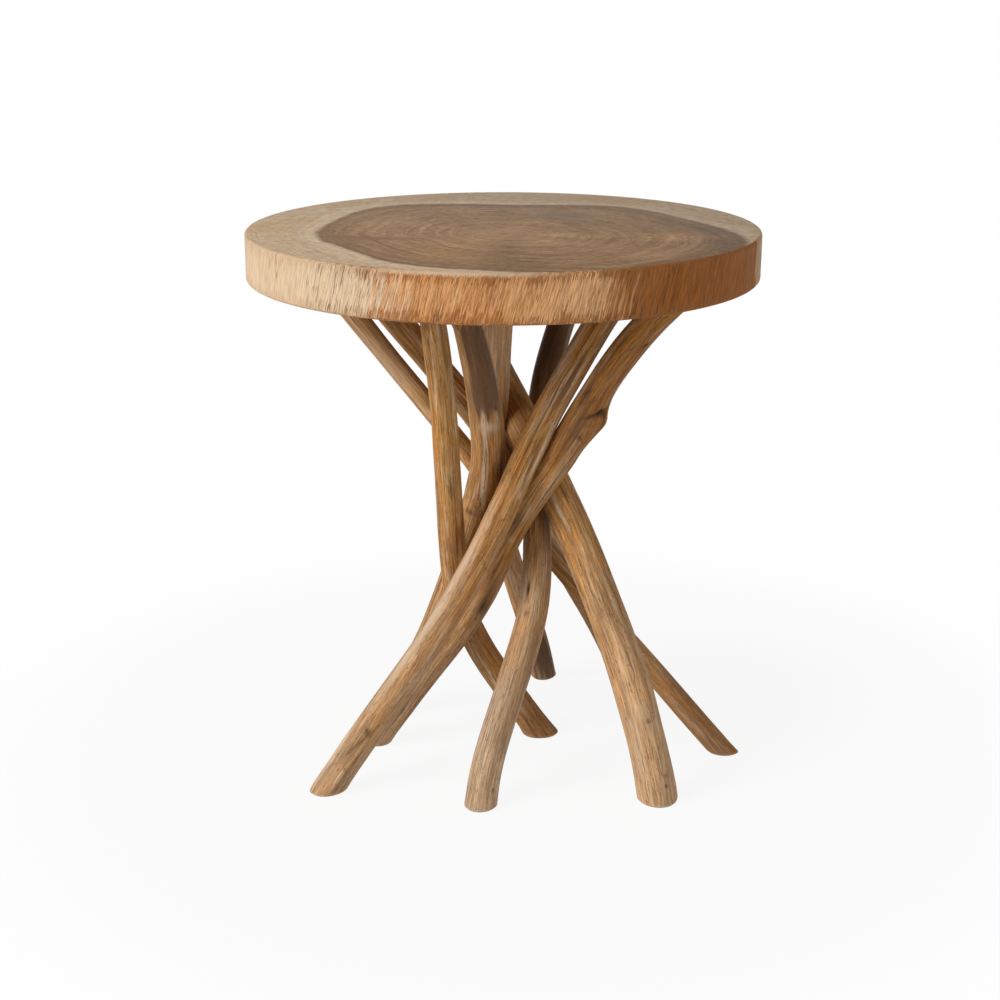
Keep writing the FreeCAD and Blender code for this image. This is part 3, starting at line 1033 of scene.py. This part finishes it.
def seat(piece, other, gap):
    """Hollow a branch where it lies on another."""
    surface = surface_of(other)
    found = [surface.find_nearest(vertex.co, SEAT_REACH)[0] for vertex in piece.data.vertices]
    near = [place is not None for place in found]
    group = "seat_" + other.name
    set_group(piece, group, np.array(near, np.float32))
    apply_modifier(
        piece, "SHRINKWRAP", target=other, wrap_method="NEAREST_SURFACEPOINT", wrap_mode="OUTSIDE",
        offset=gap, vertex_group=group,
    )


class TABLE_OT_model_branches(bpy.types.Operator):
    """Bend, saw, carve and seat the nine branches, and give each its wood"""

    bl_idname = "table.model_branches"
    bl_label = "Model Branches"

    def execute(self, context):
        settings = context.scene.table_branches
        pole = straight_pole()
        plugs = plugs_by_branch()
        pieces = {}
        for index, node in enumerate(TONES):
            make_active(pole)
            bpy.ops.object.duplicate()
            piece = context.object
            piece.name = "dressed_" + node
            keep_grain(piece, index * GRAIN_STEP)
            self.bend(piece, node, plugs[node], settings)
            carve(piece, settings, MARKS.get(node, ()))
            pieces[node] = piece
        bpy.data.objects.remove(pole)
        for first, second in CROSSINGS:
            seat(pieces[second], pieces[first], settings.seat_gap)
        for node, piece in pieces.items():
            make_active(piece)
            bpy.ops.object.shade_smooth_by_angle(angle=BRANCH_CREASE)
            piece.data.materials.append(branch_wood(node, settings, TONES[node]))
            dress(piece, node)
        return {"FINISHED"}

    def bend(self, piece, node, plugs, settings):
        """Bend a pole along the heart of its node, fit it to the node and saw its ends."""
        path, radius = heart_path(node)
        apply_modifier(piece, "CURVE", object=path, deform_axis="POS_Z")
        bpy.data.objects.remove(path)
        form = whole_form(node, plugs)
        apply_modifier(piece, "SHRINKWRAP", target=form, wrap_method="NEAREST_SURFACEPOINT")
        bpy.data.objects.remove(form)
        arris = settings.foot_arris
        saw_end(piece, arris, 0.0, 1.0 - arris / radius)
        saw_end(piece, LEG_HEIGHT - arris, LEG_HEIGHT, 1.0 - arris / radius)


class TABLE_OT_model_slab(bpy.types.Operator):
    """Turn the slab, tear its rim and give it its wood"""

    bl_idname = "table.model_slab"
    bl_label = "Model Slab"

    def execute(self, context):
        settings = context.scene.table_slab
        deselect()
        bpy.ops.mesh.primitive_cylinder_add(
            vertices=RIM_STEPS, radius=SLAB_RADIUS, depth=SLAB_THICKNESS, end_fill_type="NGON",
            location=(0.0, 0.0, SLAB_MIDDLE),
        )
        slab = context.object
        slab.name = "dressed_top_slab"
        bpy.ops.object.transform_apply(location=True, rotation=True, scale=True)
        select_edges(slab, lambda rise: rise < 0.5 * settings.arris)
        bpy.ops.mesh.bevel(offset=settings.arris, segments=ARRIS_SEGMENTS, affect="EDGES")
        leave_edit()
        select_edges(slab, lambda rise: rise > 0.5 * SLAB_THICKNESS)
        bpy.ops.mesh.subdivide(number_cuts=RIM_ROWS)
        leave_edit()
        keep_grain(slab)
        rim = slab.vertex_groups.new(name="rim")
        for vertex in slab.data.vertices:
            outside = math.hypot(vertex.co.x, vertex.co.y) - (SLAB_RADIUS - settings.arris)
            rim.add([vertex.index], max(0.0, min(1.0, outside / settings.arris)), "REPLACE")
        roughen(slab, RIM_FIBRES, settings.fibre_depth, "rim")
        roughen(slab, RIM_WAVES, settings.wave_depth, "rim")
        twist = SLAB_THICKNESS * math.tan(settings.fibre_slant) / SLAB_RADIUS
        apply_modifier(slab, "SIMPLE_DEFORM", deform_method="TWIST", deform_axis="Z", angle=twist)
        make_active(slab)
        bpy.ops.object.shade_smooth_by_angle(angle=SLAB_CREASE)
        slab.data.materials.append(slab_end_grain(settings))
        slab.data.materials.append(slab_rim_wood(settings))
        for face in slab.data.polygons:
            face.material_index = 0 if abs(face.normal.z) > LEVEL_NORMAL else 1
        dress(slab, "top_slab")
        return {"FINISHED"}


class TABLE_OT_finish_fasteners(bpy.types.Operator):
    """Give the plugs and the screws their finishes"""

    bl_idname = "table.finish_fasteners"
    bl_label = "Finish Fasteners"

    def execute(self, context):
        wood = plug_wood(context.scene.table_branches)
        steel = screw_steel()
        for nodes, finish in ((PLUG_NODES, wood), (SCREW_NODES, steel)):
            for node in nodes:
                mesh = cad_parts[node].data
                mesh.materials.clear()
                mesh.materials.append(finish)
        return {"FINISHED"}


class TABLE_OT_set_stage(bpy.types.Operator):
    """Lay the floor, hang the lights and place the camera"""

    bl_idname = "table.set_stage"
    bl_label = "Set Stage"

    def execute(self, context):
        settings = context.scene.table_stage
        self.lay_floor(settings)
        self.hang_lights(context, settings)
        self.place_camera(context)
        context.scene.view_settings.view_transform = "Standard"
        return {"FINISHED"}

    def lay_floor(self, settings):
        deselect()
        bpy.ops.mesh.primitive_circle_add(
            vertices=FLOOR_SIDES, radius=FLOOR_RADIUS, fill_type="NGON",
            location=(0.0, 0.0, -FLOOR_DROP),
        )
        floor = bpy.context.object
        floor.name = "floor"
        material, nodes = new_material("floor_paper")
        away = nodes.size(nodes.place())
        white = nodes.product(seen_white(nodes), nodes.ramp(away, *FLOOR_FADE, settings.glow, 1.0))
        paper = nodes.add("BsdfDiffuse", {"Color": (*settings.floor, 1.0)})
        glow = nodes.add("Emission", {"Color": WHITE, "Strength": 1.0})
        both = nodes.add("MixShader", {0: white, 1: paper.outputs[0], 2: glow.outputs[0]})
        nodes.add("OutputMaterial", {"Surface": both.outputs[0]})
        floor.data.materials.append(material)

    def hang_lights(self, context, settings):
        target = Vector((0.0, 0.0, 0.5 * SLAB_HIGH.z))
        for name, (side, place) in LAMPS.items():
            lamp = bpy.data.lights.new(name, "AREA")
            lamp.energy = getattr(settings, name)
            lamp.size = side
            holder = new_object(name, lamp)
            holder.location = place
            holder.rotation_euler = (target - place).to_track_quat("-Z", "Y").to_euler()
        world = bpy.data.worlds.new("studio")
        world.use_nodes = True
        nodes = Nodes(world.node_tree)
        strength = nodes.ramp(seen_white(nodes), 0.0, 1.0, settings.ambient, 1.0)
        back = nodes.add("Background", {"Color": WHITE, "Strength": strength})
        nodes.add("OutputWorld", {"Surface": back.outputs[0]})
        context.scene.world = world

    def place_camera(self, context):
        lens = bpy.data.cameras.new("photo_camera")
        lens.sensor_width = SENSOR_WIDTH
        lens.lens = SENSOR_WIDTH * FOCAL_PIXELS / PHOTO_SIDE
        lens.shift_x = (0.5 * PHOTO_SIDE - CENTRE_PIXEL.x) / PHOTO_SIDE
        camera = new_object("photo_camera", lens)
        camera.location = CAMERA_PLACE
        camera.rotation_euler = (math.radians(90.0) - CAMERA_PITCH, 0.0, 0.0)
        context.scene.camera = camera


class TABLE_PT_panel(bpy.types.Panel):
    """Buttons for the table's pieces"""

    bl_idname = "TABLE_PT_panel"
    bl_label = "Teak Accent Table"
    bl_space_type = "VIEW_3D"
    bl_region_type = "UI"
    bl_category = "Table"

    def draw(self, context):
        for group in SETTINGS:
            settings = getattr(context.scene, group)
            box = self.layout.box()
            for name in settings.__annotations__:
                box.prop(settings, name)
        for operator in OPERATORS:
            self.layout.operator(operator.bl_idname)


SETTINGS = {
    "table_slab": SlabSettings,
    "table_branches": BranchSettings,
    "table_stage": StageSettings,
}
OPERATORS = (
    TABLE_OT_model_slab,
    TABLE_OT_model_branches,
    TABLE_OT_finish_fasteners,
    TABLE_OT_set_stage,
)


def register():
    for name, group in SETTINGS.items():
        bpy.utils.register_class(group)
        setattr(bpy.types.Scene, name, PointerProperty(type=group))
    for operator in OPERATORS:
        bpy.utils.register_class(operator)
    bpy.utils.register_class(TABLE_PT_panel)


def unregister():
    bpy.utils.unregister_class(TABLE_PT_panel)
    for operator in reversed(OPERATORS):
        bpy.utils.unregister_class(operator)
    for name, group in SETTINGS.items():
        delattr(bpy.types.Scene, name)
        bpy.utils.unregister_class(group)


def main():
    register()
    bpy.ops.table.model_slab()
    bpy.ops.table.model_branches()
    bpy.ops.table.finish_fasteners()
    bpy.ops.table.set_stage()


if __name__ == "__main__":
    main()
